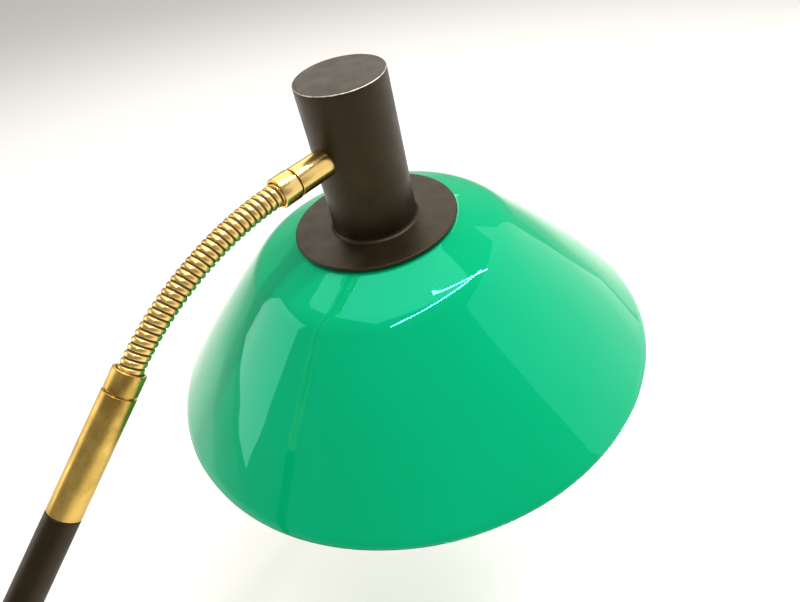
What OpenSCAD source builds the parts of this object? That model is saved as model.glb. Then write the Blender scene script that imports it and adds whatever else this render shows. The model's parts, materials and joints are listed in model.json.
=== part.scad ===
// Swing arm desk lamp with a flexible gooseneck and a wide conical shade.
// Millimetres, +Z up, origin at the centre of the underside of the base.
// The lamp stands in the XZ plane and its arm leans towards +X.

/* [Base] */
// Outer diameter of the base
base_d = 220; // [180:1:270]
// Height of the base cover above the desk
base_h = 24; // [22:0.5:30]
// Sheet thickness of the base cover
cover_t = 1.2; // [0.8:0.1:2]
// Radius of the rounded shoulder of the base cover
shoulder_r = 10; // [6:0.5:12]
// Thickness of the felt under the base
felt_t = 2; // [1.6:0.1:3]
// Thickness of the steel plate under the base
plate_t = 1.2; // [0.8:0.1:2]
// Height of the cast iron ballast
ballast_h = 15; // [12:0.5:16]
// Room between the ballast and the side of the cover
ballast_gap = 4; // [3:0.5:8]
// Diameter of the circle that the three bottom screws stand on
screw_circle_d = 150; // [120:1:170]

/* [Post] */
// Distance of the post behind the centre of the base
post_back = 60; // [45:1:72]
// Outer diameter of the post tube
post_d = 16; // [15:0.5:20]
// Wall of the post tube
post_t = 1.5; // [1:0.1:2]
// Height of the arm pivot above the desk
pivot_h = 172; // [130:1:220]

/* [Switch and cord inlet] */
// Distance of the push switch in front of the centre of the base
switch_x = 40; // [30:1:60]
// Diameter of the push button
button_d = 12; // [10:0.5:14]
// How far the button stands out of its bezel
button_out = 5; // [4:0.5:7]
// Travel of the button
button_travel = 3; // [2:0.5:3.5]
// Bore of the cord gland
gland_bore_d = 7; // [6:0.5:8]

/* [Knuckle] */
// Diameter of the bar that the fork is turned from
fork_d = 24; // [22:0.5:30]
// Thickness of the arm's eye
eye_t = 10; // [8:0.5:12]
// Diameter of the arm's eye
eye_d = 21; // [18:0.5:24]
// Diameter of the clamping stud
stud_d = 6; // [5:0.5:8]
// Diameter of the knurled clamp knob
knob_d = 24; // [20:0.5:30]
// Width of the knurled grip of the clamp knob
knob_w = 12; // [9:0.5:16]

/* [Arm] */
// Distance from the pivot to the foot of the gooseneck
arm_len = 300; // [220:1:380]
// Lean of the arm from vertical
arm_lean = 47; // [30:1:60]
// Outer diameter of the arm tube
arm_d = 15; // [14:0.5:18]
// Wall of the arm tube
arm_t = 1.5; // [1:0.1:2]
// Length of the lower ferrule
low_ferrule_len = 55; // [40:1:70]
// Length of each collar on the gooseneck
collar_len = 9.5; // [8:0.5:14]
// Diameter of the collars
collar_d = 14.6; // [13.6:0.1:17]

/* [Gooseneck] */
// Outer diameter of the gooseneck
neck_d = 11; // [9:0.5:12]
// Bore of the gooseneck
neck_bore_d = 6; // [5:0.5:7]
// Length of the gooseneck between its collars
neck_len = 99; // [80:1:130]
// Angle that the gooseneck turns through between its collars
neck_turn = 37; // [20:1:50]
// Ridges on each link of the gooseneck
ridges_per_link = 4; // [2:1:5]

/* [Cup] */
// Outer diameter of the cup over the lampholder
cup_d = 44; // [42:0.5:54]
// Wall of the cup
cup_t = 1.2; // [0.8:0.1:1.6]
// Height of the cup down to the top of its flange
cup_h = 78; // [72:1:96]
// Depth of the ferrule's axis below the top of the cup
ferrule_drop = 34; // [26:1:38]
// Diameter of the cup's flange
flange_d = 86; // [72:1:104]
// Thickness of the cup's flange
flange_t = 1.5; // [1:0.1:2.5]
// Diameter of the upper ferrule
ferrule_d = 14; // [13:0.5:17]
// Distance from the cup's axis to the swivel seam
seam_reach = 40; // [34:0.5:48]

/* [Shade] */
// Diameter of the shade at its rim
shade_d = 277; // [230:1:335]
// Height of the shade, from under the flange to the rim
shade_h = 88.6; // [72:0.1:107]
// Thickness of the shade
shade_t = 3; // [2:0.1:4]
// Diameter of the shade's flat top
shade_flat_d = 76; // [60:1:84]
// Slope of the shade's top, from horizontal
top_slope = 22; // [12:1:30]
// Diameter at which the shade's shoulder begins
shade_shoulder_d = 124; // [110:1:140]
// Radius of the shade's shoulder
shade_shoulder_r = 30; // [12:1:40]
// Slope of the shade's flank below the shoulder, from horizontal
flank_slope = 45; // [38:1:52]

/* [Lampholder and bulb] */
// Outer diameter of the lampholder's threaded skirt
skirt_d = 39; // [38:0.5:39.5]
// Outer diameter of the bulb
bulb_d = 45; // [35:1:50]
// Length of the bulb with its cap
bulb_len = 75; // [66:1:80]

/* [Hidden] */
// Clearance all round a part pressed or screwed into another, and round a shaft that turns
fit = 0.05;
// Gap between parts that move past each other
gap = 0.3;
$fn = 64;

LINKS = 8;
LINK_NAMES = [for (i = [1 : LINKS]) str("gooseneck_link_", i)];

base_r = base_d / 2;
plate_z = felt_t;
ballast_z = plate_z + plate_t;
ballast_r = base_r - cover_t - ballast_gap;
nipple_d = 10;
screw_d = 4;
screw_head_d = 8;
screw_head_h = 1.4;
post_x = -post_back;
pocket_d = 30;
gland_nut_af = gland_bore_d + 7;
cord_z = ballast_z + gland_nut_af / 2 + gap;
// How far the gland nut reaches up into the shoulder of the cover, and the wall's radius there
gland_rise = max(0, cord_z + gland_nut_af / 2 / cos(30) - (base_h - shoulder_r));
gland_seat_r = base_r - shoulder_r + sqrt(pow(shoulder_r - cover_t, 2) - pow(gland_rise, 2));

socket_floor = 3;
socket_h = 16;
tube_foot_z = base_h + socket_floor;
cap_head_h = 8;
cap_spigot = 14;
fork_drop = 18;
seat_z = pivot_h - fork_drop;
tube_top_z = seat_z - cap_head_h;
post_bore_d = post_d - 2 * post_t;
spindle_d = 8;
clip_t = 1.2;

washer_t = 0.6;
slot_w = eye_t + 2 * washer_t + 0.2;
ear_t = 4.5;
ear_out = slot_w / 2 + ear_t;
ear_r = eye_d / 2;
stem_start = eye_d / 2 + 2.5;
tube_start = stem_start + 8;
plug_len = 14;
arm_bore_d = arm_d - 2 * arm_t;
seam_gap = 1;
collar_start = arm_len - collar_len;
ferrule_end = collar_start - seam_gap;
ferrule_start = ferrule_end - low_ferrule_len;

neck_r = neck_len * 180 / (PI * neck_turn);
link_len = neck_len / LINKS;
recess_depth = 4;
recess_d = neck_d + 1;
// Half of the wedge that opens between two links, enough for the sharpest bend
link_wedge = 8;
ridge_h = neck_d * 0.07;
swivel_d = 7;
swivel_bore_d = 5;

cup_r = cup_d / 2;
cup_inner_r = cup_r - cup_t;
flange_z = ferrule_drop - cup_h;
gasket_t = 1;
shade_top_z = flange_z - flange_t - gasket_t;
tail_d = 10;
leg_t = 1.4;
leg_w = 12;
leg_x = sqrt(pow(cup_inner_r, 2) - pow(leg_w / 2, 2)) - 0.1;
nut_af = 14;
nut_t = 3.5;
tail_end = leg_x - leg_t - nut_t - 1.2;
bracket_z = -12;
holder_top_z = bracket_z - leg_t;
dome_h = 24;
skirt_top_z = holder_top_z - dome_h;
washer_z = shade_top_z - shade_t - gasket_t;
carrier_t = 1.2;
ring_h = 10;
ring_top_z = washer_z - carrier_t;
skirt_end_z = ring_top_z - ring_h - 4;
core_h = 8;
shell_t = 0.4;
shell_d = 28;
bulb_cap_d = 26.4;
bulb_cap_h = 25;
contact_z = skirt_top_z - 2;
bulb_top_z = contact_z - 1.6;
lead_d = 4.4;
lead_bend_r = 7;

function arc(c, r, a0, a1, n) =
    [for (i = [0 : n]) let (a = a0 + (a1 - a0) * i / n) [c[0] + r * cos(a), c[1] + r * sin(a)]];
function reversed(list) = [for (i = [len(list) - 1 : -1 : 0]) list[i]];

// A hexagon prism across its flats, standing on Z = 0
module hex(af, h) cylinder(d = af / cos(30), h = h, $fn = 6);

// A tube standing on Z = 0
module pipe(d, bore, h) difference() {
    cylinder(d = d, h = h);
    translate([0, 0, -1]) cylinder(d = bore, h = h + 2);
}

module at_post() translate([post_x, 0, 0]) children();
module at_pivot() translate([post_x, 0, pivot_h]) children();
module along_arm() at_pivot() rotate([0, arm_lean, 0]) children();

// Place on the gooseneck's centre line, with +Z along it, at a length s from its foot
module on_neck(s) {
    lean = arm_lean + neck_turn * s / neck_len;
    along_arm() translate([0, 0, arm_len]) rotate([0, -arm_lean, 0])
        translate([neck_r * (cos(arm_lean) - cos(lean)), 0, neck_r * (sin(lean) - sin(arm_lean))])
            rotate([0, lean, 0]) children();
}

// The head's own frame: +Z up the cup's axis, the swivel along -X, crossing at the origin
module in_head() on_neck(neck_len)
    translate([0, 0, seam_reach + seam_gap + collar_len]) rotate([0, -90, 0]) children();

// Something that points out along the swivel, starting at a distance x from the cup's axis
module out_from_cup(x) in_head() translate([-x, 0, 0]) rotate([0, -90, 0]) children();

// ---- Base ----

function cover_edge(t) = concat(
    arc([base_r - shoulder_r, base_h - shoulder_r], shoulder_r - t, 90, 0, 16),
    [[base_r - t, plate_z + 0.5]]);

module bottom_screw_places() for (a = [30, 150, 270])
    rotate(a) translate([screw_circle_d / 2, 0, 0]) children();

module felt_pad() color("darkolivegreen") difference() {
    cylinder(r = base_r - 4, h = felt_t);
    bottom_screw_places() translate([0, 0, -1]) cylinder(d = screw_head_d + 1, h = felt_t + 2);
}

module bottom_plate() color("silver") difference() {
    translate([0, 0, plate_z]) cylinder(r = base_r - cover_t - 1, h = plate_t);
    bottom_screw_places() cylinder(d = screw_d + 0.4, h = 3 * plate_z);
}

module bottom_screws() color("silver") bottom_screw_places() {
    translate([0, 0, plate_z - screw_head_h]) cylinder(d = screw_head_d, h = screw_head_h);
    translate([0, 0, plate_z - 0.1]) cylinder(d = screw_d, h = 10);
}

module ballast() color("dimgray") difference() {
    translate([0, 0, ballast_z]) rotate_extrude($fn = 96) polygon([
        [0, 0], [ballast_r, 0], [ballast_r, ballast_h - 5], [ballast_r - 5, ballast_h], [0, ballast_h]]);
    bottom_screw_places() cylinder(d = screw_d + 2 * fit, h = ballast_z + 10);
    at_post() cylinder(d = nipple_d + 1, h = base_h);
    at_post() cylinder(d = pocket_d, h = ballast_z + 6);
    translate([switch_x, 0, 0]) cylinder(d = pocket_d, h = base_h);
    translate([-30, -12, 0]) cube([44, 24, base_h]);
    translate([-base_r, -9, 0]) cube([base_r - post_back, 18, base_h]);
    translate([post_x, -5, 0]) cube([post_back + switch_x, 10, ballast_z + 6]);
}

module base_cover() color([0.07, 0.06, 0.055]) difference() {
    rotate_extrude($fn = 128) polygon(concat([[0, base_h]], cover_edge(0), reversed(cover_edge(cover_t)),
        [[0, base_h - cover_t]]));
    at_post() cylinder(d = nipple_d + 0.4, h = 2 * base_h);
    translate([switch_x, 0, base_h - 5]) cylinder(d = button_d + 2.4, h = 10);
    translate([-base_r - 5, 0, cord_z]) rotate([0, 90, 0]) cylinder(d = gland_bore_d + 5.2, h = 15);
}

// ---- Push switch ----

switch_neck_d = button_d + 2;
switch_floor_z = base_h - cover_t - 14;

module switch_body() color([0.1, 0.07, 0.05]) translate([switch_x, 0, 0]) difference() {
    union() {
        translate([0, 0, switch_floor_z]) cylinder(d = switch_neck_d + 6, h = 14);
        translate([0, 0, switch_floor_z]) cylinder(d = switch_neck_d, h = 18);
    }
    translate([0, 0, switch_floor_z + 2]) cylinder(d = button_d + 2 * fit, h = 20);
}

module switch_bezel() color([0.78, 0.6, 0.28]) translate([switch_x, 0, base_h]) rotate_extrude()
    polygon([[switch_neck_d / 2 + fit, 0], [switch_neck_d / 2 + 5, 0],
        [switch_neck_d / 2 + 5, 0.8], [switch_neck_d / 2 + 3.5, 2.4], [switch_neck_d / 2 + fit, 2.4]]);

spring_turns = 5;
spring_wire = 0.8;
button_foot_z = switch_floor_z + 2 + button_travel + 3.5;

module switch_spring() color("silver") translate([switch_x, 0, switch_floor_z + 2])
    for (i = [0 : spring_turns - 1])
        translate([0, 0, 0.6 + i * (6.5 - 1.2) / (spring_turns - 1)])
            rotate_extrude() translate([button_d * 0.3, 0]) circle(d = spring_wire, $fn = 16);

module switch_button() color([0.08, 0.07, 0.06]) translate([switch_x, 0, 0]) rotate_extrude() {
    top = base_h + 2.4 + button_out;
    polygon(concat([[0, button_foot_z], [button_d / 2 - 0.02, button_foot_z]],
        arc([button_d / 2 - 2.02, top - 2], 2, 0, 80, 6), [[0, top + 0.3]]));
}

// ---- Cord inlet ----

module cord_gland() color([0.05, 0.05, 0.05]) translate([-base_r, 0, cord_z]) rotate([0, 90, 0])
    rotate_extrude() polygon([[gland_bore_d / 2, -5], [gland_bore_d / 2 + 2, -5],
        [gland_bore_d / 2 + 4.6, -0.1], [gland_bore_d / 2 + 2.5, -0.1],
        [gland_bore_d / 2 + 2.5, 9], [gland_bore_d / 2, 9]]);

module gland_nut() color("silver") translate([0.2 - gland_seat_r, 0, cord_z]) rotate([0, 90, 0])
    difference() {
        rotate(30) hex(gland_nut_af, 3);
        translate([0, 0, -1]) cylinder(d = gland_bore_d + 5 + 2 * fit, h = 5);
    }

module terminal_block() color("ivory") translate([-8, 0, ballast_z]) difference() {
    translate([-16, -8, 0]) cube([32, 16, 12]);
    for (x = [-10, 0, 10]) translate([x, 0, 0]) {
        translate([0, -9, 6]) rotate([-90, 0, 0]) cylinder(d = 4, h = 18);
        translate([0, 0, 6]) cylinder(d = 4, h = 10);
    }
}

// ---- Post ----

module post_socket() color([0.78, 0.6, 0.28]) at_post() translate([0, 0, base_h]) difference() {
    rotate_extrude() polygon(concat([[0, 0], [post_d / 2 + 11, 0]],
        arc([post_d / 2 + 10, 1.5], 1, 0, 90, 4),
        arc([post_d / 2 + 7, 6.5], 4, 270, 180, 8),
        [[post_d / 2 + 3, socket_h - 0.8], [post_d / 2 + 2.2, socket_h], [0, socket_h]]));
    translate([0, 0, socket_floor]) cylinder(d = post_d + 2 * fit, h = socket_h);
    translate([0, 0, -1]) cylinder(d = nipple_d + 0.4, h = socket_h);
}

module post_tube() color([0.07, 0.06, 0.055]) at_post() translate([0, 0, tube_foot_z])
    pipe(post_d, post_bore_d, tube_top_z - tube_foot_z);

nipple_z = ballast_z + 1;
plug_h = 12;

module post_nipple() color([0.75, 0.58, 0.3]) at_post() {
    translate([0, 0, nipple_z]) pipe(nipple_d, 7, tube_foot_z + plug_h - nipple_z - 1);
    translate([0, 0, tube_foot_z]) pipe(post_bore_d - 2 * fit, nipple_d - 1, plug_h);
}

module post_nuts() color("silver") at_post() {
    translate([0, 0, ballast_z + 5]) pipe(24, nipple_d + 2 * fit, 1);
    translate([0, 0, ballast_z + 1.5]) difference() {
        hex(17, 3.5);
        translate([0, 0, -1]) cylinder(d = nipple_d + 2 * fit, h = 6);
    }
}

module post_cap() color([0.78, 0.6, 0.28]) at_post() difference() {
    union() {
        translate([0, 0, tube_top_z]) rotate_extrude() polygon([[0, 0], [post_d / 2 + 1, 0],
            [post_d / 2 + 1, cap_head_h - 1.5], [post_d / 2 - 0.5, cap_head_h], [0, cap_head_h]]);
        translate([0, 0, tube_top_z - cap_spigot]) cylinder(d = post_bore_d - 2 * fit, h = cap_spigot + 1);
    }
    translate([0, 0, tube_top_z - cap_spigot - 1]) cylinder(d = spindle_d + 2 * fit, h = 40);
}

// ---- Knuckle ----

spindle_len = cap_head_h + cap_spigot + gap + clip_t + 2;

module fork() color([0.78, 0.6, 0.28]) at_pivot() difference() {
    union() {
        difference() {
            intersection() {
                translate([0, 0, -fork_drop + gap]) cylinder(d = fork_d, h = fork_drop + fork_d);
                rotate([90, 0, 0]) union() {
                    cylinder(r = ear_r, h = fork_d, center = true);
                    translate([-fork_d / 2, -fork_drop, -fork_d / 2])
                        cube([fork_d, fork_drop - ear_r / 2, fork_d]);
                    translate([-ear_r, -fork_drop, -fork_d / 2]) cube([2 * ear_r, fork_drop, fork_d]);
                }
            }
            translate([-fork_d, -slot_w / 2, -ear_r - 1.5]) cube([2 * fork_d, slot_w, 3 * ear_r]);
            for (side = [-1, 1]) translate([-fork_d, side > 0 ? ear_out : -ear_out - fork_d, -ear_r - 1.5])
                cube([2 * fork_d, fork_d, 3 * ear_r]);
        }
        translate([0, 0, -fork_drop - spindle_len]) cylinder(d = spindle_d, h = spindle_len + 1);
    }
    translate([0, 0, -fork_drop - spindle_len - 1]) cylinder(d = 5, h = spindle_len + fork_drop);
    rotate([90, 0, 0]) cylinder(d = stud_d + 2 * fit, h = 2 * fork_d, center = true);
}

module fork_clip() color("silver") at_post()
    translate([0, 0, tube_top_z - cap_spigot - gap - clip_t])
        pipe(min(spindle_d + 3.4, post_bore_d - 1), spindle_d + 2 * fit, clip_t);

module friction_washers() color("saddlebrown") at_pivot()
    for (y = [-slot_w / 2, slot_w / 2 - washer_t]) translate([0, y + washer_t, 0])
        rotate([90, 0, 0]) pipe(eye_d - 3, stud_d + 2 * fit, washer_t);

module pivot_nut() color([0.78, 0.6, 0.28]) at_pivot() translate([0, ear_out, 0]) rotate([-90, 0, 0])
    difference() {
        union() {
            hex(11, 5);
            translate([0, 0, 4]) rotate_extrude() polygon(concat([[0, 0]], arc([0, 1], 4.4, 0, 90, 8)));
        }
        translate([0, 0, -1]) cylinder(d = stud_d + 2 * fit, h = 7);
    }

knob_start = ear_out + gap;
knob_grips = 28;

module clamp_knob() color([0.78, 0.6, 0.28]) at_pivot() translate([0, -knob_start, 0]) rotate([90, 0, 0])
    difference() {
        rotate_extrude($fn = 96) polygon([[stud_d / 2 + fit, 0], [stud_d, 0], [stud_d, 2],
            [knob_d / 2 - 1, 2], [knob_d / 2, 3], [knob_d / 2, 1 + knob_w], [knob_d / 2 - 1, 2 + knob_w],
            [stud_d / 2 + fit, 2 + knob_w]]);
        for (i = [0 : knob_grips - 1]) rotate(i * 360 / knob_grips) translate([knob_d / 2 + 0.3, 0, 1])
            cylinder(d = 1.6, h = knob_w + 3, $fn = 16);
    }

module clamp_stud() color([0.7, 0.55, 0.3]) at_pivot()
    translate([0, ear_out + 4, 0]) rotate([90, 0, 0])
        cylinder(d = stud_d, h = ear_out + 4 + knob_start + knob_w + 1);

// ---- Arm ----

module arm_eye() color([0.78, 0.6, 0.28]) along_arm() difference() {
    union() {
        rotate([90, 0, 0]) cylinder(d = eye_d - 1, h = eye_t, center = true);
        translate([-arm_d / 2 + 0.8, -eye_t / 2, 0]) cube([arm_d - 1.6, eye_t, stem_start + 1]);
        translate([0, 0, stem_start]) rotate_extrude() polygon([[0, 0], [arm_d / 2 - 1.2, 0],
            [arm_d / 2 + 0.5, 1.7], [arm_d / 2 + 0.5, 7], [arm_d / 2, 8], [0, 8]]);
        translate([0, 0, tube_start - 1]) cylinder(d = arm_bore_d - 2 * fit, h = plug_len + 1);
    }
    rotate([90, 0, 0]) cylinder(d = stud_d + 4 * fit, h = 2 * eye_t, center = true);
}

module arm_tube() color([0.07, 0.06, 0.055]) along_arm() translate([0, 0, tube_start])
    pipe(arm_d, arm_bore_d, ferrule_start - tube_start);

module lower_ferrule() color([0.7, 0.56, 0.26]) along_arm() difference() {
    union() {
        translate([0, 0, ferrule_start]) cylinder(d = arm_d, h = low_ferrule_len);
        translate([0, 0, ferrule_start - plug_len]) cylinder(d = arm_bore_d - 2 * fit, h = plug_len + 1);
        translate([0, 0, ferrule_end - 1]) cylinder(d = arm_d - 2.4, h = seam_gap + 1);
    }
    translate([0, 0, ferrule_start - plug_len - 1])
        cylinder(d = neck_bore_d, h = plug_len + low_ferrule_len + 4);
}

// A collar standing on Z = 0, with a recess for the end of the gooseneck at its far face
module collar() difference() {
    rotate_extrude() polygon([[neck_bore_d / 2, 0], [collar_d / 2 - 0.3, 0], [collar_d / 2, 0.3],
        [collar_d / 2, collar_len - 0.4], [collar_d / 2 - 0.4, collar_len],
        [recess_d / 2, collar_len], [recess_d / 2, collar_len - recess_depth],
        [neck_bore_d / 2, collar_len - recess_depth]]);
}

// The ridged skin of a stretch of gooseneck from Z = 0, its ends sloped back by the wedge
module ridged_skin(length, ridges) {
    pitch = length / ridges;
    outer = [for (i = [0 : ridges - 1], k = [0 : 6]) let (a = 180 - 30 * k)
        [neck_d / 2 - ridge_h + ridge_h * sin(a), (i + 0.5) * pitch + 0.5 * pitch * cos(a)]];
    rotate_extrude() intersection() {
        polygon(concat([[neck_bore_d / 2, 0]], outer, [[neck_bore_d / 2, length]]));
        polygon([[0, 0.1], [neck_d, 0.1 + neck_d * tan(link_wedge)],
            [neck_d, length - 0.1 - neck_d * tan(link_wedge)], [0, length - 0.1]]);
    }
}

module lower_collar() color([0.78, 0.6, 0.28]) along_arm() translate([0, 0, collar_start]) collar();

module gooseneck_foot() color([0.72, 0.56, 0.24]) along_arm()
    translate([0, 0, arm_len - recess_depth]) ridged_skin(recess_depth, 1);

module gooseneck_link(i) color([0.72, 0.56, 0.24])
    on_neck((i - 0.5) * link_len) translate([0, 0, -link_len / 2]) ridged_skin(link_len, ridges_per_link);

module gooseneck_end() color([0.72, 0.56, 0.24]) on_neck(neck_len) ridged_skin(recess_depth, 1);

// ---- Swivel ----

collar_reach = seam_reach + seam_gap;

module upper_collar() color([0.78, 0.6, 0.28]) out_from_cup(collar_reach) collar();

module swivel_tube() color([0.75, 0.58, 0.3]) {
    inner_end = tail_end - gap - clip_t - 1;
    out_from_cup(inner_end) pipe(swivel_d, swivel_bore_d, collar_reach - inner_end);
    out_from_cup(seam_reach + gap) pipe(collar_d - 2.4, swivel_bore_d, seam_gap - gap);
}

module swivel_clip() color("silver") out_from_cup(tail_end - gap - clip_t)
    pipe(swivel_d + 3, swivel_d + 2 * fit, clip_t);

module upper_ferrule() color([0.82, 0.64, 0.32]) difference() {
    union() {
        difference() {
            out_from_cup(cup_inner_r - 4) cylinder(d = ferrule_d, h = seam_reach - cup_inner_r + 4);
            in_head() translate([0, 0, -20]) cylinder(r = cup_r + fit, h = 40);
        }
        out_from_cup(tail_end) cylinder(d = tail_d, h = cup_r + 5 - tail_end);
    }
    out_from_cup(0) cylinder(d = swivel_d + 2 * fit, h = seam_reach + 1);
}

module ferrule_nut() color("silver") out_from_cup(leg_x - leg_t - nut_t) difference() {
    rotate(30) hex(nut_af, nut_t);
    translate([0, 0, -1]) cylinder(d = tail_d + 2 * fit, h = nut_t + 2);
}

// ---- Cup and shade ----

module lamp_cup() color([0.07, 0.06, 0.055]) in_head() difference() {
    translate([0, 0, flange_z - flange_t]) rotate_extrude($fn = 128) {
        top = cup_h + flange_t;
        polygon(concat([[cup_inner_r, 0], [flange_d / 2 - 0.5, 0], [flange_d / 2, 0.5]],
            arc([flange_d / 2 - 0.7, flange_t - 0.7], 0.7, 0, 90, 4),
            arc([cup_r + 2.2, flange_t + 2.2], 2.2, 270, 180, 8),
            arc([cup_r - 0.8, top - 0.8], 0.8, 0, 90, 4),
            [[0, top], [0, top - 1.5], [cup_inner_r, top - 1.5]]));
    }
    rotate([0, -90, 0]) cylinder(d = tail_d + 2 * fit, h = cup_d);
}

shoulder = shade_shoulder_d / 2;
flat_r = shade_flat_d / 2;
lip_r = 18;

// Half outline of the shade at a depth t under its skin, from its flat top down to its rim
function shade_line(t) = let (
    lip = [for (a = [0 : top_slope / 4 : top_slope])
        [flat_r + lip_r * sin(a), -lip_r * (1 - cos(a)), a]],
    lip_end = lip[4],
    knee = [shoulder, lip_end[1] - (shoulder - lip_end[0]) * tan(top_slope)],
    bend = [for (k = [0 : 8]) let (a = top_slope + (flank_slope - top_slope) * k / 8)
        [knee[0] + shade_shoulder_r * (sin(a) - sin(top_slope)),
         knee[1] - shade_shoulder_r * (cos(top_slope) - cos(a)), a]],
    foot = bend[8],
    run = shade_d / 2 - foot[0],
    fall = foot[1] + shade_h,
    rim_slope = 2 * atan(fall / run) - flank_slope,
    flank_r = run / (sin(rim_slope) - sin(flank_slope)),
    flank = [for (k = [1 : 12]) let (a = flank_slope + (rim_slope - flank_slope) * k / 12)
        [foot[0] + flank_r * (sin(a) - sin(flank_slope)),
         foot[1] - flank_r * (cos(flank_slope) - cos(a)), a]])
    [for (p = concat(lip, bend, flank)) [p[0] - t * sin(p[2]), p[1] - t * cos(p[2])]];

module shade() color([0, 0.62, 0.42]) in_head() translate([0, 0, shade_top_z]) rotate_extrude($fn = 128)
    intersection() {
        polygon(concat([[skirt_d / 2 + 1, 0]], shade_line(0), reversed(shade_line(shade_t)),
            [[skirt_d / 2 + 1, -shade_t]]));
        translate([0, -shade_h]) square([shade_d, shade_h]);
    }

module shade_gaskets() color([0.05, 0.05, 0.05]) in_head() {
    translate([0, 0, shade_top_z]) pipe(shade_flat_d, skirt_d + 4, gasket_t);
    translate([0, 0, washer_z]) pipe(skirt_d + 20, skirt_d + 2, gasket_t);
}

module carrier_washer() color("silver") in_head() translate([0, 0, ring_top_z])
    pipe(skirt_d + 20, skirt_d + 1, carrier_t);

module shade_ring() color([0.06, 0.05, 0.045]) in_head() translate([0, 0, ring_top_z - ring_h]) difference() {
    cylinder(d = skirt_d + 13, h = ring_h);
    translate([0, 0, -1]) cylinder(d = skirt_d + 2 * fit, h = ring_h + 2);
    for (i = [0 : 17]) rotate(i * 20)
        translate([skirt_d / 2 + 7.2, 0, -1]) cylinder(d = 3, h = ring_h + 2, $fn = 16);
}

// ---- Lampholder ----

module holder_bracket() color("silver") in_head() difference() {
    union() {
        translate([-leg_x, -leg_w / 2, holder_top_z]) cube([leg_t, leg_w, 20]);
        translate([-leg_x, -leg_w / 2, holder_top_z]) cube([leg_x + 8, leg_w, leg_t]);
        translate([0, 0, holder_top_z]) cylinder(d = 16, h = leg_t);
    }
    translate([-cup_r, 0, 0]) rotate([0, 90, 0]) cylinder(d = tail_d + 2 * fit, h = 10);
    translate([0, 0, holder_top_z - 1]) cylinder(d = nipple_d + 2 * fit, h = 4);
}

module holder_nipple() color([0.75, 0.58, 0.3]) in_head() translate([0, 0, holder_top_z - 7])
    pipe(nipple_d, 7, leg_t + 7 + 4);

module holder_nut() color("silver") in_head() translate([0, 0, bracket_z]) difference() {
    hex(nut_af, 3);
    translate([0, 0, -1]) cylinder(d = nipple_d + 2 * fit, h = 5);
}

module holder_dome() color([0.06, 0.05, 0.045]) in_head() difference() {
    translate([0, 0, skirt_top_z]) rotate_extrude() polygon(concat(
        [[0, 0], [skirt_d / 2, 0]], arc([skirt_d / 2 - 8, dome_h - 8], 8, 0, 90, 8), [[0, dome_h]]));
    translate([0, 0, skirt_top_z - 1]) cylinder(d = skirt_d - 6, h = dome_h - 4);
    translate([0, 0, skirt_top_z]) cylinder(d = nipple_d + 2 * fit, h = dome_h + 1);
}

module holder_skirt() color([0.06, 0.05, 0.045]) in_head() translate([0, 0, skirt_end_z])
    pipe(skirt_d, shell_d + 2, skirt_top_z - skirt_end_z - 0.05);

module holder_core() color("ivory") in_head() translate([0, 0, contact_z]) difference() {
    union() {
        translate([0, 0, 2.1]) cylinder(d = skirt_d - 7, h = core_h);
        cylinder(d = shell_d - 1, h = 3);
    }
    translate([0, 0, -1]) cylinder(d = 5, h = core_h + 4);
}

module screw_shell() color([0.75, 0.58, 0.3]) in_head() translate([0, 0, skirt_end_z + 4])
    pipe(shell_d, shell_d - 2 * shell_t, contact_z - skirt_end_z - 4.2);

module centre_contact() color([0.75, 0.58, 0.3]) in_head() {
    translate([0, 0, contact_z - 1.2]) cylinder(d = 9, h = 1);
    translate([0, 0, contact_z - 0.5]) cylinder(d = 4, h = core_h);
}

module bulb_cap() color("silver") in_head() translate([0, 0, bulb_top_z]) rotate_extrude() polygon([
    [0, 0], [4, 0], [5, -1.5], [bulb_cap_d / 2 - 2, -3.5], [bulb_cap_d / 2, -5.5],
    [bulb_cap_d / 2, -bulb_cap_h], [bulb_cap_d / 2 - 1, -bulb_cap_h], [bulb_cap_d / 2 - 1, -6],
    [0, -4]]);

module bulb_glass() color([0.95, 0.95, 0.92]) in_head()
        translate([0, 0, bulb_top_z - bulb_len]) rotate_extrude() {
    neck_r = bulb_cap_d / 2 - 1.2;
    ball_r = bulb_d / 2;
    meet = asin((neck_r + 3) / (ball_r + 3));
    wall = 0.8;
    outer = concat(arc([0, ball_r], ball_r, -90, 90 - meet, 24),
        arc([neck_r + 3, ball_r + (ball_r + 3) * cos(meet)], 3, 270 - meet, 180, 6),
        [[neck_r, bulb_len - 8]]);
    inner = concat([[neck_r - wall, bulb_len - 8]],
        arc([neck_r + 3, ball_r + (ball_r + 3) * cos(meet)], 3 + wall, 180, 270 - meet, 6),
        arc([0, ball_r], ball_r - wall, 90 - meet, -90, 24));
    polygon(concat(outer, inner));
}

// The sheath follows the bend and its stripped ends run straight on
module head_lead() color([0.6, 0.45, 0.2]) in_head() {
    core_d = lead_d - 0.6;
    inner_end = tail_end - gap - clip_t - 1 - gap;
    translate([-inner_end, 0, 0]) rotate([0, 90, 0]) cylinder(d = core_d, h = inner_end - lead_bend_r + 1);
    translate([-lead_bend_r, 0, -lead_bend_r]) rotate([90, 0, 0]) rotate_extrude(angle = 90)
        translate([lead_bend_r, 0]) circle(d = lead_d);
    translate([0, 0, holder_top_z - 5]) cylinder(d = core_d, h = 6 - lead_bend_r - holder_top_z);
}

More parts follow.
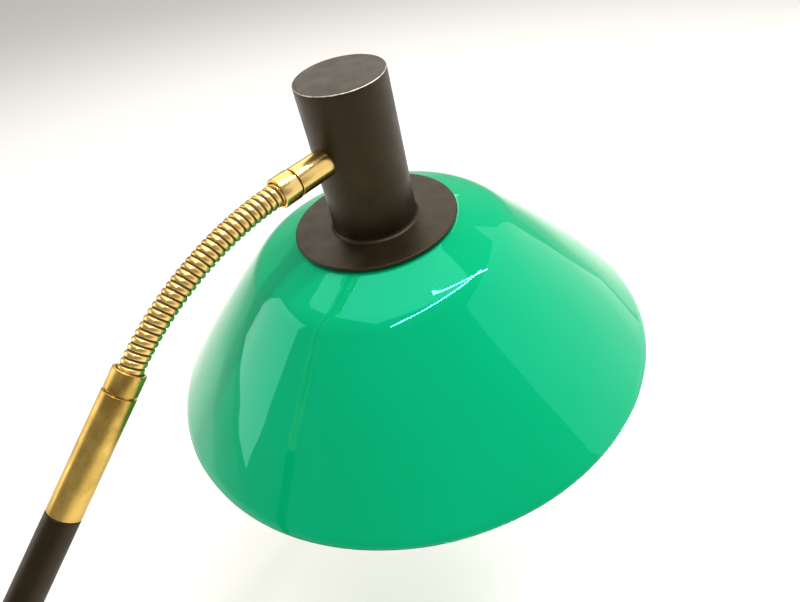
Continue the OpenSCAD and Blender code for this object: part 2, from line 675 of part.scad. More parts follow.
felt_pad();
bottom_plate();
bottom_screws();
ballast();
base_cover();
switch_body();
switch_bezel();
switch_spring();
switch_button();
cord_gland();
gland_nut();
terminal_block();
post_socket();
post_tube();
post_nipple();
post_nuts();
post_cap();
fork();
fork_clip();
friction_washers();
pivot_nut();
clamp_knob();
clamp_stud();
arm_eye();
arm_tube();
lower_ferrule();
lower_collar();
gooseneck_foot();
for (i = [1 : LINKS]) gooseneck_link(i);
gooseneck_end();
upper_collar();
swivel_tube();
swivel_clip();
upper_ferrule();
ferrule_nut();
lamp_cup();
shade();
shade_gaskets();
carrier_washer();
shade_ring();
holder_bracket();
holder_nipple();
holder_nut();
holder_dome();
holder_skirt();
holder_core();
screw_shell();
centre_contact();
bulb_cap();
bulb_glass();
head_lead();
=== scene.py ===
"""The looks of the desk lamp: a green shade under a black cup, on a brass gooseneck and a black arm."""
import json
import math

import bpy
from mathutils import Matrix, Vector, noise


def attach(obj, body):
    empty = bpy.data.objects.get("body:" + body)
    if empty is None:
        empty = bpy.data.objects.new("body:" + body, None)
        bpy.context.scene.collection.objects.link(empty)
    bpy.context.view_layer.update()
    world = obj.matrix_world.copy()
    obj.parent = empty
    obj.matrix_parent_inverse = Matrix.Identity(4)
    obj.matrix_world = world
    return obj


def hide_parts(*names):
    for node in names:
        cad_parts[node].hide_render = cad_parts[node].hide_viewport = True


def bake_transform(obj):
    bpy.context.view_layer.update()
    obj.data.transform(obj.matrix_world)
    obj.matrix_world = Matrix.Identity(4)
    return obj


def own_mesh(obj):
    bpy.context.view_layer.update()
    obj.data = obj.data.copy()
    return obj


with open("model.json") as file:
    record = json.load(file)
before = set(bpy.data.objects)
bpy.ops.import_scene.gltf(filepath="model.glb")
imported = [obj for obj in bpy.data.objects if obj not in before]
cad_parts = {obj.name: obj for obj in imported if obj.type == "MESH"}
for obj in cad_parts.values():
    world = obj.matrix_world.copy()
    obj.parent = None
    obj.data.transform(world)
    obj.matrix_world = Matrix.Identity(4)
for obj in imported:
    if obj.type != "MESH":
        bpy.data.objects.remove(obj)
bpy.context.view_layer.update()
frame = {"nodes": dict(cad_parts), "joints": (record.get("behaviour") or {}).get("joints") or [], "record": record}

MM = 0.001
NODES = frame["nodes"]
JOINTS = {joint["name"]: joint for joint in frame["joints"]}


# ---------------------------------------------------------------- places taken from the frame

def joint_place(name):
    """Where a joint stands, in metres."""
    return Vector(JOINTS[name]["pos_m"])


def along(start, direction):
    """A place whose +Z points along a direction in the lamp's plane, with +Y across the lamp."""
    up = direction.normalized()
    side = Vector((0, 1, 0))
    front = side.cross(up)
    turn = Matrix((front, side, up)).transposed().to_4x4()
    return Matrix.Translation(start) @ turn


NECK_JOINTS = [joint for joint in frame["joints"] if joint["name"].startswith("neck_")]
NECK_FOOT = Vector(NECK_JOINTS[0]["pos_m"])
NECK_TIP = Vector(NECK_JOINTS[-1]["pos_m"])

PIVOT = joint_place("arm_tilt")
ARM_WAY = (NECK_FOOT - PIVOT).normalized()
SWIVEL_WAY = Vector(JOINTS["head_turn"]["axis"]).normalized()
SEAM_REACH = 40.5 * MM
HEAD_CENTRE = joint_place("head_turn") + SWIVEL_WAY * SEAM_REACH

AT_FLOOR = Matrix.Identity(4)
AT_ARM = along(PIVOT, ARM_WAY)
AT_HEAD = along(HEAD_CENTRE, Vector((-SWIVEL_WAY.z, 0, SWIVEL_WAY.x)))
AT_SWIVEL = along(HEAD_CENTRE, -SWIVEL_WAY)


# ---------------------------------------------------------------- camera, floor and lights

CAMERA_LENS = 30.6
CAMERA_FROM_CUP = Vector((-194.2, -239.2, 95.6)) * MM
CAMERA_AZIMUTH = -41.4
CAMERA_ELEVATION = 36.2
CAMERA_ROLL = -8.3
CUP_TOP = AT_HEAD @ Vector((0, 0, 34 * MM))


def aimed(direction, roll=0.0):
    """The turn of a camera or a lamp that looks along a direction, rolled in degrees."""
    right = direction.cross(Vector((0, 0, 1))).normalized()
    up = right.cross(direction).normalized()
    angle = math.radians(roll)
    tilted = right * math.cos(angle) + up * math.sin(angle)
    over = tilted.cross(direction)
    return Matrix((tilted, over, -direction)).transposed().to_euler()


def direction_at(azimuth, elevation):
    """The way a camera looks from an azimuth and an elevation in degrees."""
    a, e = math.radians(azimuth), math.radians(elevation)
    return Vector((-math.sin(a) * math.cos(e), math.cos(a) * math.cos(e), -math.sin(e)))


def make_camera():
    data = bpy.data.cameras.new("camera")
    data.lens = CAMERA_LENS
    data.sensor_width = 36
    data.clip_start = 0.01
    data.clip_end = 50
    camera = bpy.data.objects.new("camera", data)
    bpy.context.scene.collection.objects.link(camera)
    camera.location = CUP_TOP + CAMERA_FROM_CUP
    camera.rotation_euler = aimed(direction_at(CAMERA_AZIMUTH, CAMERA_ELEVATION), CAMERA_ROLL)
    bpy.context.scene.camera = camera


def soft_box(name, place, target, width, height, power, tint=(1, 1, 1)):
    """A rectangular studio lamp that looks at a target."""
    data = bpy.data.lights.new(name, "AREA")
    data.shape = "RECTANGLE"
    data.size = width
    data.size_y = height
    data.energy = power
    data.color = tint
    lamp = bpy.data.objects.new(name, data)
    bpy.context.scene.collection.objects.link(lamp)
    lamp.location = place
    lamp.rotation_euler = aimed((Vector(target) - Vector(place)).normalized())


def make_studio():
    bpy.ops.mesh.primitive_plane_add(size=14, location=(0, 0, 0))
    floor = bpy.context.object
    floor.name = "studio_floor"
    paint = bpy.data.materials.new("studio_floor")
    paint.use_nodes = True
    shader = paint.node_tree.nodes["Principled BSDF"]
    shader.inputs["Base Color"].default_value = (0.82, 0.805, 0.775, 1)
    shader.inputs["Emission Color"].default_value = (1, 0.98, 0.93, 1)
    shader.inputs["Emission Strength"].default_value = 0.2
    shader.inputs["Roughness"].default_value = 0.8
    floor.data.materials.append(paint)
    world = bpy.data.worlds.new("studio")
    world.use_nodes = True
    world.node_tree.nodes["Background"].inputs["Color"].default_value = (1, 0.98, 0.95, 1)
    world.node_tree.nodes["Background"].inputs["Strength"].default_value = 0.32
    bpy.context.scene.world = world
    bpy.context.scene.view_settings.view_transform = "Standard"
    soft_box("ceiling_light", (0.35, 0.3, 2.1), (0.3, 0.1, 0), 1.8, 1.6, 15, (1, 0.98, 0.94))
    soft_box("back_light", (1.25, 1.15, 1.5), HEAD_CENTRE, 1.6, 1.2, 10, (1, 0.97, 0.92))
    soft_box("window_light", (1.55, -0.8, 0.9), HEAD_CENTRE, 2.3, 1.8, 11, (1, 0.99, 0.97))
    soft_box("left_light", (-0.9, 1.45, 0.9), HEAD_CENTRE, 1.2, 1.2, 8, (1, 0.97, 0.92))
    soft_box("shoulder_light", (0.35, -0.55, 1.9), HEAD_CENTRE, 2.0, 0.05, 16)
    soft_box("streak_light", (0.95, -0.35, 1.85), HEAD_CENTRE, 0.05, 1.0, 9)


make_camera()
make_studio()


# ---------------------------------------------------------------- materials

class Finish:
    """A material under construction: a Principled shader and the nodes that feed it."""

    def __init__(self, name, place=AT_FLOOR):
        self.material = bpy.data.materials.new(name)
        self.material.use_nodes = True
        self.tree = self.material.node_tree
        self.shader = self.tree.nodes["Principled BSDF"]
        back = place.inverted()
        coords = self.add("ShaderNodeTexCoord")
        mapping = self.add("ShaderNodeMapping")
        mapping.inputs["Location"].default_value = back.to_translation()
        mapping.inputs["Rotation"].default_value = back.to_euler()
        self.join(coords.outputs["Object"], mapping.inputs["Vector"])
        self.coords = mapping.outputs["Vector"]

    def add(self, kind, **settings):
        node = self.tree.nodes.new(kind)
        for key, value in settings.items():
            setattr(node, key, value)
        return node

    def join(self, output, socket):
        self.tree.links.new(output, socket)

    def set(self, **values):
        for key, value in values.items():
            self.shader.inputs[key.replace("_", " ")].default_value = value
        return self

    def stretched(self, x, y, z):
        """The piece's own coordinates, scaled along each axis."""
        scale = self.add("ShaderNodeVectorMath", operation="MULTIPLY")
        self.join(self.coords, scale.inputs[0])
        scale.inputs[1].default_value = (x, y, z)
        return scale.outputs[0]

    def noise(self, size_mm, detail=4.0, stretch=(1, 1, 1), roughness=0.5):
        """Smooth noise whose features are about size_mm across, from 0 to 1."""
        node = self.add("ShaderNodeTexNoise")
        node.inputs["Scale"].default_value = 1 / (size_mm * MM)
        node.inputs["Detail"].default_value = detail
        node.inputs["Roughness"].default_value = roughness
        self.join(self.stretched(*stretch), node.inputs["Vector"])
        return node.outputs["Fac"]

    def cells(self, size_mm, randomness=1.0):
        """The distance to the nearest of many scattered points, in cells."""
        node = self.add("ShaderNodeTexVoronoi")
        node.inputs["Scale"].default_value = 1 / (size_mm * MM)
        node.inputs["Randomness"].default_value = randomness
        self.join(self.coords, node.inputs["Vector"])
        return node.outputs["Distance"]

    def attribute(self, name):
        node = self.add("ShaderNodeAttribute", attribute_name=name)
        return node.outputs["Fac"]

    def band(self, value, low, high, out_low=0.0, out_high=1.0):
        """A value rescaled from one range to another and held there."""
        node = self.add("ShaderNodeMapRange")
        node.inputs["From Min"].default_value = low
        node.inputs["From Max"].default_value = high
        node.inputs["To Min"].default_value = out_low
        node.inputs["To Max"].default_value = out_high
        self.join(value, node.inputs["Value"])
        return node.outputs["Result"]

    def maths(self, operation, a, b):
        node = self.add("ShaderNodeMath", operation=operation)
        for socket, value in zip(node.inputs, (a, b)):
            if isinstance(value, (int, float)):
                socket.default_value = value
            else:
                self.join(value, socket)
        return node.outputs[0]

    def mix(self, factor, a, b):
        """Colour a where the factor is 0 and colour b where it is 1."""
        node = self.add("ShaderNodeMix", data_type="RGBA")
        self.join(factor, node.inputs["Factor"])
        for index, value in ((6, a), (7, b)):
            if isinstance(value, tuple):
                node.inputs[index].default_value = (*value, 1)
            else:
                self.join(value, node.inputs[index])
        return node.outputs[2]

    def paint(self, colour):
        self.join(colour, self.shader.inputs["Base Color"])
        return self

    def rough(self, value):
        self.join(value, self.shader.inputs["Roughness"])
        return self

    def bump(self, height, depth_mm, strength=1.0):
        node = self.add("ShaderNodeBump")
        node.inputs["Strength"].default_value = strength
        node.inputs["Distance"].default_value = depth_mm * MM
        self.join(height, node.inputs["Height"])
        self.join(node.outputs["Normal"], self.shader.inputs["Normal"])
        return self


def black_lacquer(name, place):
    """Warm satin black lacquer with dust and faint rub marks, and a light bare-metal ring at worn edges that is
    also a painted highlight along those edges.
    """
    f = Finish(name, place)
    cloud = f.noise(30, 5)
    base = f.mix(cloud, (0.006, 0.0038, 0.0017), (0.013, 0.0082, 0.004))
    dust = f.band(f.cells(2.2), 0.085, 0.03)
    speck_gate = f.band(f.noise(7, 2), 0.5, 0.6)
    base = f.mix(f.maths("MULTIPLY", dust, speck_gate), base, (0.19, 0.13, 0.08))
    # The light ring at the cup's top edge and flange rim is partly bare metal where the lacquer has worn and
    # partly a painted highlight along the edge.
    edge_rub_and_highlight = f.attribute("edge_rub_and_highlight")
    bare_metal_and_highlight = f.band(f.maths("ADD", edge_rub_and_highlight, f.maths("MULTIPLY", f.noise(2.6, 4), 0.6)), 0.98, 1.12)
    f.paint(f.mix(bare_metal_and_highlight, base, (0.62, 0.56, 0.47)))
    f.rough(f.band(f.noise(9, 6), 0.3, 0.75, 0.34, 0.48))
    f.join(f.maths("MULTIPLY", bare_metal_and_highlight, 0.6), f.shader.inputs["Metallic"])
    f.bump(f.noise(0.7, 3), 0.01)
    f.set(Specular_IOR_Level=0.4, Specular_Tint=(1.0, 0.78, 0.48, 1))
    return f.material


def brass(name, place, colour=(0.80, 0.55, 0.17), tarnish=0.35, shine=0.22):
    """Turned brass: fine rings from the lathe, brown tarnish in patches, small pits, and painted shade in its
    grooves.
    """
    f = Finish(name, place)
    patches = f.band(f.noise(11, 6, (1, 1, 0.6), 0.62), 0.42, 0.74)
    dark = tuple(c * k for c, k in zip(colour, (0.42, 0.34, 0.2)))
    base = f.mix(f.maths("MULTIPLY", patches, tarnish), colour, dark)
    pits = f.band(f.cells(2.6), 0.10, 0.04)
    gate = f.band(f.noise(6, 2), 0.5, 0.58)
    pits = f.maths("MULTIPLY", pits, gate)
    base = f.mix(f.maths("MULTIPLY", pits, min(1.0, tarnish * 2)), base, (0.10, 0.055, 0.02))
    # Painted shade: dark brown, with less metal shine, where the groove attribute marks the gooseneck's grooves
    # and bore.
    groove_shade = f.attribute("groove")
    base = f.mix(groove_shade, base, (0.10, 0.045, 0.018))
    f.paint(base)
    rings = f.noise(0.9, 3, (0.04, 0.04, 1.6))
    f.rough(f.maths("ADD", f.band(f.noise(5, 5), 0.3, 0.75, shine, shine + 0.12),
                    f.maths("MULTIPLY", groove_shade, 0.4)))
    f.join(f.band(groove_shade, 0.2, 1.0, 1.0, 0.1), f.shader.inputs["Metallic"])
    f.bump(rings, 0.005)
    return f.material


def green_acrylic(name, place):
    """Deep glossy green acrylic with hairline scratches."""
    f = Finish(name, place)
    cloud = f.noise(60, 3)
    f.paint(f.mix(cloud, (0.0, 0.385, 0.155), (0.0, 0.43, 0.18)))
    scratch = f.band(f.noise(2.5, 2, (0.06, 1, 1)), 0.70, 0.74)
    f.rough(f.maths("ADD", f.maths("MULTIPLY", scratch, 0.06), 0.03))
    f.set(Coat_Weight=0.12, Coat_Roughness=0.02, IOR=1.6, Specular_Tint=(0.06, 1.0, 0.93, 1))
    return f.material


def plain(name, colour, rough, metallic=0.0, grain_mm=1.0, depth_mm=0.01, spread=0.18):
    """A material with slight colour and roughness variation and a fine grain."""
    f = Finish(name)
    darker = tuple(c * (1 - spread) for c in colour)
    f.paint(f.mix(f.noise(grain_mm * 12, 5), darker, colour))
    f.rough(f.band(f.noise(grain_mm * 6, 4), 0.3, 0.7, rough * 0.85, min(1.0, rough * 1.15)))
    f.bump(f.noise(grain_mm, 4), depth_mm)
    f.set(Metallic=metallic)
    return f.material


PAINT = {
    "felt": plain("felt", (0.035, 0.05, 0.035), 0.95, grain_mm=0.5, depth_mm=0.15, spread=0.5),
    "zinc_steel": plain("zinc_steel", (0.55, 0.55, 0.53), 0.35, 1.0, 0.5, 0.006),
    "cast_iron": plain("cast_iron", (0.06, 0.058, 0.055), 0.7, 0.6, 1.2, 0.12, 0.4),
    "bakelite": plain("bakelite", (0.02, 0.014, 0.01), 0.22, 0.0, 2.0, 0.004, 0.4),
    "porcelain": plain("porcelain", (0.8, 0.78, 0.72), 0.18, 0.0, 2.0, 0.005, 0.05),
    "raw_brass": plain("raw_brass", (0.62, 0.43, 0.18), 0.3, 1.0, 0.6, 0.006),
    "fibre": plain("fibre", (0.22, 0.08, 0.03), 0.8, 0.0, 0.4, 0.03, 0.3),
    "rubber": plain("rubber", (0.02, 0.02, 0.02), 0.75, 0.0, 0.6, 0.02, 0.3),
    "cap_metal": plain("cap_metal", (0.68, 0.68, 0.66), 0.3, 1.0, 0.6, 0.006),
    "flex": plain("flex", (0.33, 0.18, 0.05), 0.6, 0.0, 0.5, 0.03, 0.3),
    "black_lacquer": black_lacquer("black_lacquer", AT_FLOOR),
    "bright_brass": brass("bright_brass", AT_FLOOR, (0.72, 0.51, 0.2), 0.2, 0.2),
    "aged_brass": brass("aged_brass", AT_ARM, (0.6, 0.43, 0.15), 0.5, 0.28),
    "green_acrylic": green_acrylic("green_acrylic", AT_HEAD),
    "bulb_glass": plain("bulb_glass", (0.92, 0.91, 0.87), 0.35, 0.0, 2.0, 0.003, 0.03),
}
SLOT_OF = {row["node"]: row["material_slot"] for row in frame["record"]["subparts"]}
BODY_OF = {node: body for body, members in frame["record"]["behaviour"]["bodies"].items() for node in members}
for node_name, cad_node in NODES.items():
    cad_node.data.materials.clear()
    cad_node.data.materials.append(PAINT[SLOT_OF[node_name]])


# ---------------------------------------------------------------- modelling tools

def start():
    """Nothing selected, in object mode."""
    if bpy.context.object and bpy.context.object.mode != "OBJECT":
        bpy.ops.object.mode_set(mode="OBJECT")
    bpy.ops.object.select_all(action="DESELECT")


def settle(piece, place, angle=35):
    """Puts a piece made about the origin in its place, with the place in its mesh, and shades it."""
    start()
    bpy.context.view_layer.objects.active = piece
    piece.select_set(True)
    piece.matrix_world = place
    bpy.ops.object.transform_apply(location=True, rotation=True, scale=True)
    bpy.ops.object.shade_smooth_by_angle(angle=math.radians(angle))
    return piece


def rounded(corners, steps=5):
    """Points of an outline in millimetres. A corner is (radius, height) or (radius, height, rounding)."""
    points = []
    for i, corner in enumerate(corners):
        here = Vector(corner[:2])
        if len(corner) < 3:
            points.append(here)
            continue
        before = (Vector(corners[i - 1][:2]) - here).normalized()
        after = (Vector(corners[(i + 1) % len(corners)][:2]) - here).normalized()
        half = before.angle(after) / 2
        reach = corner[2] / math.tan(half)
        middle = here + (before + after).normalized() * (corner[2] / math.sin(half))
        first = here + before * reach - middle
        last = here + after * reach - middle
        sweep = first.angle_signed(last)
        for k in range(steps + 1):
            turned = first.copy()
            turned.rotate(Matrix.Rotation(-sweep * k / steps, 2))
            points.append(middle + turned)
    return points


def turned(name, outline, place, steps=96, angle=35):
    """A piece turned on a lathe: its closed half outline is drawn point by point and spun about Z."""
    start()
    bpy.ops.mesh.primitive_plane_add(size=MM, location=(0, 0, 0))
    piece = bpy.context.object
    piece.name = name
    bpy.ops.object.mode_set(mode="EDIT")
    bpy.ops.mesh.select_all(action="SELECT")
    bpy.ops.mesh.merge(type="CENTER")
    first = Vector(outline[0])
    bpy.ops.transform.translate(value=(first.x * MM, 0, first.y * MM))
    at = first
    for point in list(outline[1:]) + [first]:
        move = Vector(point) - at
        bpy.ops.mesh.extrude_vertices_move(
            TRANSFORM_OT_translate={"value": (move.x * MM, 0, move.y * MM)})
        at = Vector(point)
    bpy.ops.mesh.select_all(action="SELECT")
    bpy.ops.mesh.remove_doubles(threshold=1e-6)
    bpy.ops.mesh.spin(steps=steps, angle=2 * math.pi, center=(0, 0, 0), axis=(0, 0, 1))
    bpy.ops.mesh.select_all(action="SELECT")
    bpy.ops.mesh.remove_doubles(threshold=2e-6)
    bpy.ops.mesh.normals_make_consistent(inside=False)
    bpy.ops.object.mode_set(mode="OBJECT")
    return settle(piece, place, angle)


def dressed(piece, material, *nodes, body=True):
    """Gives a finished piece its material and, unless body is False, the body of the first CAD node that it stands
    for, and hides those CAD nodes.
    """
    piece.data.materials.clear()
    piece.data.materials.append(material)
    if body:
        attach(piece, BODY_OF[nodes[0]])
    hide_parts(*nodes)
    return piece


def mark(piece, name, rule):
    """Stores a number from 0 to 1 at every vertex, given by a rule on its place."""
    layer = piece.data.attributes.new(name, "FLOAT", "POINT")
    layer.data.foreach_set("value", [rule(v.co) for v in piece.data.vertices])


def bevelled(node, width_mm, segments=3, angle=30):
    """A copy of a CAD node, welded. Its sharp edges are broken where a width is given."""
    start()
    piece = NODES[node].copy()
    piece.data = NODES[node].data.copy()
    piece.name = node + "_finished"
    piece.parent = None
    for key in list(piece.keys()):
        del piece[key]
    bpy.context.scene.collection.objects.link(piece)
    bpy.context.view_layer.objects.active = piece
    piece.select_set(True)
    bpy.ops.object.mode_set(mode="EDIT")
    bpy.ops.mesh.select_all(action="SELECT")
    bpy.ops.mesh.remove_doubles(threshold=1e-6)
    if width_mm:
        bpy.ops.mesh.dissolve_limited(angle_limit=math.radians(0.5))
    bpy.ops.object.mode_set(mode="OBJECT")
    if not width_mm:
        bpy.ops.object.shade_smooth_by_angle(angle=math.radians(30))
        return piece
    soften = piece.modifiers.new("soften", "BEVEL")
    soften.width = width_mm * MM
    soften.segments = segments
    soften.limit_method = "ANGLE"
    soften.angle_limit = math.radians(angle)
    soften.harden_normals = True
    bpy.ops.object.modifier_apply(modifier="soften")
    bpy.ops.object.shade_smooth_by_angle(angle=math.radians(35))
    return piece


# ---------------------------------------------------------------- cup

CUP_RADIUS = 22
CUP_WALL = 1.2
FLANGE_RADIUS = 43
FLANGE_TOP = -44
FLANGE_THICK = 1.5
CUP_TOP_Z = 34
CUP_LID = 1.5
CUP_PAINT = black_lacquer("cup_lacquer", AT_HEAD)


def make_cup():
    inner = CUP_RADIUS - CUP_WALL
    under = FLANGE_TOP - FLANGE_THICK
    outline = rounded([
        (0, CUP_TOP_Z), (CUP_RADIUS * 0.5, CUP_TOP_Z), (CUP_RADIUS - 1.6, CUP_TOP_Z - 0.05),
        (CUP_RADIUS, CUP_TOP_Z - 0.05, 0.55),
        (CUP_RADIUS, CUP_TOP_Z - 3), (CUP_RADIUS, -5), (CUP_RADIUS, -30),
        (CUP_RADIUS, FLANGE_TOP, 2.0), (FLANGE_RADIUS - 6, FLANGE_TOP),
        (FLANGE_RADIUS, FLANGE_TOP, 0.6), (FLANGE_RADIUS, under, 0.3),
        (inner, under), (inner, CUP_TOP_Z - CUP_LID), (0, CUP_TOP_Z - CUP_LID)], 6)
    cup = turned("cup", outline, AT_HEAD, 128)
    back = AT_HEAD.inverted()

    # Marks a thin ring at the top edge and the flange rim: rubbed edges, and also a painted highlight line.
    def rim_rub_and_highlight_rule(place):
        local = back @ place
        radius = math.hypot(local.x, local.y) / MM
        height = local.z / MM
        ridge = math.hypot(radius - CUP_RADIUS + 0.15, height - CUP_TOP_Z + 0.15)
        rim = math.hypot(radius - FLANGE_RADIUS + 0.15, height - FLANGE_TOP + 0.15)
        return max(0.0, 1 - ridge / 0.9, 0.62 * (1 - rim / 0.8))

    mark(cup, "edge_rub_and_highlight", rim_rub_and_highlight_rule)
    dressed(cup, CUP_PAINT, "lamp_cup")


make_cup()


# ---------------------------------------------------------------- shade

SHADE_TOP = -46.5
SHADE_RADIUS = 138.5
SHADE_HEIGHT = 88.6
SHADE_THICK = 3
SHADE_FLAT = 38
SHADE_HOLE = 20.5
SHADE_SEAT = 30
SHADE_WAVE = 0.28
LIP_ROUND = 18
SHOULDER_AT = 62
SHOULDER_ROUND = 30
TOP_SLOPE = 22
FLANK_SLOPE = 45


def slope_arc(start_point, radius, slope_from, slope_to, steps):
    """Points of an arc that starts at a point and whose slope goes from one angle down to another."""
    points = []
    for k in range(1, steps + 1):
        a = math.radians(slope_from + (slope_to - slope_from) * k / steps)
        b = math.radians(slope_from)
        points.append((start_point[0] + radius * (math.sin(a) - math.sin(b)),
                       start_point[1] - radius * (math.cos(b) - math.cos(a)), math.degrees(a)))
    return points


def shade_line(inset):
    """The shade's half outline, moved inwards by inset."""
    line = [(SHADE_FLAT, 0.0, 0.0)]
    line += slope_arc(line[0], LIP_ROUND, 0, TOP_SLOPE, 5)
    knee_fall = (SHOULDER_AT - line[-1][0]) * math.tan(math.radians(TOP_SLOPE))
    knee = (SHOULDER_AT, line[-1][1] - knee_fall, TOP_SLOPE)
    line += [knee] + slope_arc(knee, SHOULDER_ROUND, TOP_SLOPE, FLANK_SLOPE, 10)
    foot = line[-1]
    run = SHADE_RADIUS - foot[0]
    rim_slope = 2 * math.degrees(math.atan((foot[1] + SHADE_HEIGHT) / run)) - FLANK_SLOPE
    flank = run / (math.sin(math.radians(rim_slope)) - math.sin(math.radians(FLANK_SLOPE)))
    line += slope_arc(foot, flank, FLANK_SLOPE, rim_slope, 14)
    return [(r - inset * math.sin(math.radians(a)), z - inset * math.cos(math.radians(a)) + SHADE_TOP)
            for r, z, a in line]


def make_shade():
    outer, inner = shade_line(0), shade_line(SHADE_THICK)
    inner = [(r, max(z, SHADE_TOP - SHADE_HEIGHT)) for r, z in inner]
    rim = [outer[-2], (*outer[-1], 0.9), (inner[-1][0] + 0.6, inner[-1][1] + 0.4, 0.9), inner[-2]]
    outline = [(SHADE_HOLE, SHADE_TOP), (SHADE_SEAT, SHADE_TOP)] + outer[:-1]
    outline += rounded(rim, 4)[1:-1]
    under = SHADE_TOP - SHADE_THICK
    outline += inner[::-1][1:] + [(SHADE_SEAT, under), (SHADE_HOLE, under)]
    shade = turned("shade_shell", outline, AT_HEAD, 192, 50)
    back = AT_HEAD.inverted()
    for vertex in shade.data.vertices:
        local = back @ vertex.co
        radius = math.hypot(local.x, local.y)
        if radius > SHADE_FLAT * MM:
            wave = noise.noise(Vector((local.x, local.y, 0)) * 22) + 0.5 * noise.noise(local * 45)
            out = AT_HEAD.to_3x3() @ Vector((local.x, local.y, radius * 0.6))
            vertex.co += out.normalized() * wave * SHADE_WAVE * MM
    dressed(shade, PAINT["green_acrylic"], "shade")


make_shade()


# ---------------------------------------------------------------- gooseneck

NECK_RADIUS = 5.5 * MM
NECK_TURNS = 31
RIDGE_DEPTH = 0.8 * MM
RIDGE_SHARE = 0.76
NECK_BORE = 3 * MM
RECESS = 3.5 * MM
START_LEAN = math.atan2(ARM_WAY.x, ARM_WAY.z)
END_LEAN = math.atan2(SWIVEL_WAY.x, SWIVEL_WAY.z)
NECK_CHORD = (NECK_TIP - NECK_FOOT).length
NECK_ARC = NECK_CHORD / (2 * math.sin((END_LEAN - START_LEAN) / 2))
NECK_LENGTH = NECK_ARC * (END_LEAN - START_LEAN)
LINK = NECK_LENGTH / (len(NECK_JOINTS) - 1)
PITCH = NECK_LENGTH / NECK_TURNS
ROWS_PER_TURN = 20
COLUMNS = 60


def neck_centre(s):
    """The gooseneck's centre line and its lean, at a length s from its foot."""
    held = min(max(s, 0.0), NECK_LENGTH)
    lean = START_LEAN + held / NECK_ARC
    centre = NECK_FOOT + Vector((NECK_ARC * (math.cos(START_LEAN) - math.cos(lean)), 0,
                                 NECK_ARC * (math.sin(lean) - math.sin(START_LEAN))))
    way = Vector((math.sin(lean), 0, math.cos(lean)))
    return centre + way * (s - held), lean


def ridge(s, around):
    """The winding's height, 0 in its groove and 1 on its ridge, and how far it is into the groove."""
    x = abs(2 * ((s / PITCH - around / (2 * math.pi)) % 1) - 1)
    rise = (1 - min(1.0, x / RIDGE_SHARE) ** 2.6) ** (1 / 2.6)
    return rise, min(1.0, max(0.0, (x - RIDGE_SHARE + 0.10) / 0.12))


def make_neck_piece(index):
    """The stretch of gooseneck that crosses one joint, from the middle of one link to the next.

    The last one doesn't bend: it rides on its link, and its end is hidden in the collar.
    """
    s_joint = index * LINK
    last = len(NECK_JOINTS) - 1
    low = -RECESS if index == 0 else s_joint - LINK / 2
    high = NECK_LENGTH + RECESS / 2 if index == last else s_joint + LINK / 2
    rows = round((high - low) / PITCH * ROWS_PER_TURN)
    start()
    bpy.ops.mesh.primitive_grid_add(x_subdivisions=COLUMNS, y_subdivisions=rows + 3, size=1)
    piece = bpy.context.object
    piece.name = f"gooseneck_winding_{index + 1}"
    grooves = []
    for vertex in piece.data.vertices:
        around = (vertex.co.x + 0.5) * 2 * math.pi
        row = round((vertex.co.y + 0.5) * (rows + 3))
        inside = row in (rows + 1, rows + 2)
        if row == rows + 3:
            row = 0
        s = low if row == rows + 2 else low + min(row, rows) / rows * (high - low)
        centre, lean = neck_centre(s)
        height, groove = ridge(s, around)
        radius = NECK_RADIUS - RIDGE_DEPTH * (1 - height)
        # The bore is marked as groove too, so it gets the painted shade.
        if inside:
            radius, groove = NECK_BORE, 1.0
        out = Vector((math.cos(lean), 0, -math.sin(lean))) * math.cos(around)
        out += Vector((0, 1, 0)) * math.sin(around)
        vertex.co = centre + out * radius
        grooves.append(groove)
    # This groove mark drives the painted shade in the brass material.
    layer = piece.data.attributes.new("groove", "FLOAT", "POINT")
    layer.data.foreach_set("value", grooves)
    bpy.ops.object.mode_set(mode="EDIT")
    bpy.ops.mesh.select_all(action="SELECT")
    bpy.ops.mesh.remove_doubles(threshold=2e-6)
    bpy.ops.mesh.normals_make_consistent(inside=False)
    bpy.ops.object.mode_set(mode="OBJECT")
    bpy.ops.object.shade_smooth_by_angle(angle=math.radians(60))
    replaced = []
    if index > 0:
        replaced.append(f"gooseneck_link_{index}")
    if index == 0:
        replaced.append("gooseneck_foot")
    elif index == last:
        replaced.append("gooseneck_end")
    dressed(piece, GOOSENECK_BRASS, *replaced, body=index == last)
    if index == last:
        return
    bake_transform(piece)


GOOSENECK_BRASS = brass("gooseneck_brass", AT_SWIVEL, (0.92, 0.65, 0.22), 0.25, 0.24)
for order, neck_joint in enumerate(NECK_JOINTS):
    make_neck_piece(order)


# ---------------------------------------------------------------- arm, ferrules and collars

ARM_BRASS = brass("arm_brass", AT_ARM, (0.74, 0.50, 0.13), 0.85, 0.26)
HEAD_BRASS = brass("head_brass", AT_SWIVEL, (0.82, 0.57, 0.2), 0.25, 0.16)
ARM_PAINT = black_lacquer("arm_lacquer", AT_ARM)
ARM_RADIUS = 7.5
FERRULE_START = 234.5
FERRULE_END = 289.5
COLLAR_START = 290.5
COLLAR_LENGTH = 9.5
COLLAR_RADIUS = 7.3
SEAM_RADIUS = 6.3
BORE_RADIUS = 3
RECESS_RADIUS = 6.0
RECESS_DEPTH = 4
SPIGOT_RADIUS = 5.9
SPIGOT_END = 222
TUBE_START = 21
SWIVEL_BORE = 3.6
SWIVEL_RADIUS = 7
SWIVEL_START = 20.9


def collar_outline(foot):
    """A collar from its foot, with the recess that the gooseneck's end goes into."""
    top = foot + COLLAR_LENGTH
    return rounded([
        (BORE_RADIUS, foot), (COLLAR_RADIUS, foot, 0.35), (COLLAR_RADIUS, top, 0.5),
        (RECESS_RADIUS, top, 0.25), (RECESS_RADIUS, top - RECESS_DEPTH),
        (BORE_RADIUS, top - RECESS_DEPTH)], 4)


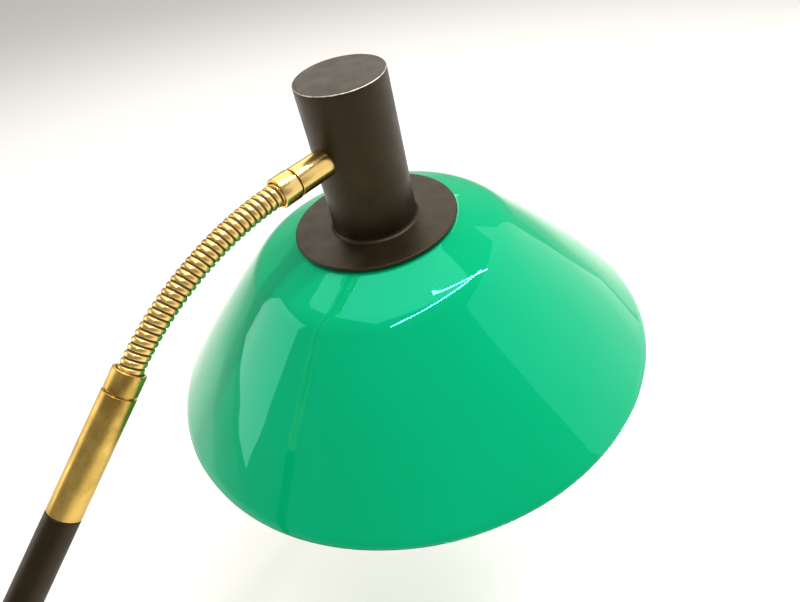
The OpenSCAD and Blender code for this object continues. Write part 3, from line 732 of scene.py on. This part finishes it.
def make_arm():
    tube = turned("arm_tube_painted", rounded([
        (RECESS_RADIUS, TUBE_START), (ARM_RADIUS, TUBE_START, 0.5), (ARM_RADIUS, 120),
        (ARM_RADIUS, FERRULE_START - 0.15, 0.25), (RECESS_RADIUS, FERRULE_START - 0.15)]), AT_ARM, 72)
    dressed(tube, ARM_PAINT, "arm_tube")
    ferrule = turned("lower_ferrule_turned", rounded([
        (BORE_RADIUS, SPIGOT_END), (SPIGOT_RADIUS, SPIGOT_END), (SPIGOT_RADIUS, FERRULE_START + 0.15),
        (ARM_RADIUS, FERRULE_START + 0.15, 0.35),
        (ARM_RADIUS, 260), (ARM_RADIUS, FERRULE_END, 0.35), (SEAM_RADIUS, FERRULE_END),
        (SEAM_RADIUS, COLLAR_START - 0.05), (BORE_RADIUS, COLLAR_START - 0.05)]), AT_ARM, 96)
    dressed(ferrule, ARM_BRASS, "lower_ferrule")
    collar = turned("lower_collar_turned", collar_outline(COLLAR_START), AT_ARM, 96)
    dressed(collar, ARM_BRASS, "lower_collar")


def make_swivel():
    seam = SEAM_REACH / MM - 0.5
    ferrule = turned("upper_ferrule_turned", rounded([
        (SWIVEL_BORE, SWIVEL_START), (SWIVEL_RADIUS, SWIVEL_START), (SWIVEL_RADIUS, 30),
        (SWIVEL_RADIUS, seam, 0.3), (SWIVEL_BORE, seam)]), AT_SWIVEL, 96)
    dressed(ferrule, HEAD_BRASS, "upper_ferrule")
    collar = turned("upper_collar_turned", collar_outline(seam + 1), AT_SWIVEL, 96)
    dressed(collar, HEAD_BRASS, "upper_collar")


make_arm()
make_swivel()


# ---------------------------------------------------------------- machined and pressed pieces

def finished_like_new(material, width_mm, *names):
    """Bevelled copies of the CAD nodes with crisp machined edges."""
    for name in names:
        dressed(bevelled(name, width_mm), material, name)


def smoothed(material, *names):
    """Copies of the round CAD nodes, welded and smoothly shaded."""
    for name in names:
        dressed(bevelled(name, 0), material, name)


finished_like_new(PAINT["bright_brass"], 0.35, "fork", "arm_eye", "pivot_nut")
finished_like_new(PAINT["bright_brass"], 0.2, "clamp_knob")
smoothed(PAINT["black_lacquer"], "base_cover", "post_tube")
smoothed(PAINT["bright_brass"], "post_socket", "post_cap", "switch_bezel")
smoothed(PAINT["bakelite"], "switch_button", "cord_gland", "holder_dome", "holder_skirt", "shade_ring")
smoothed(PAINT["porcelain"], "holder_core")
smoothed(PAINT["bulb_glass"], "bulb_glass")
smoothed(PAINT["cap_metal"], "bulb_cap")
smoothed(PAINT["felt"], "felt_pad")


def make_switch_spring():
    """The spring under the button, which on the real lamp shortens as the button goes down; here it is a welded
    copy with a mesh of its own.
    """
    spring = bevelled("switch_spring", 0)
    dressed(spring, PAINT[SLOT_OF["switch_spring"]], "switch_spring")
    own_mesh(spring)


make_switch_spring()
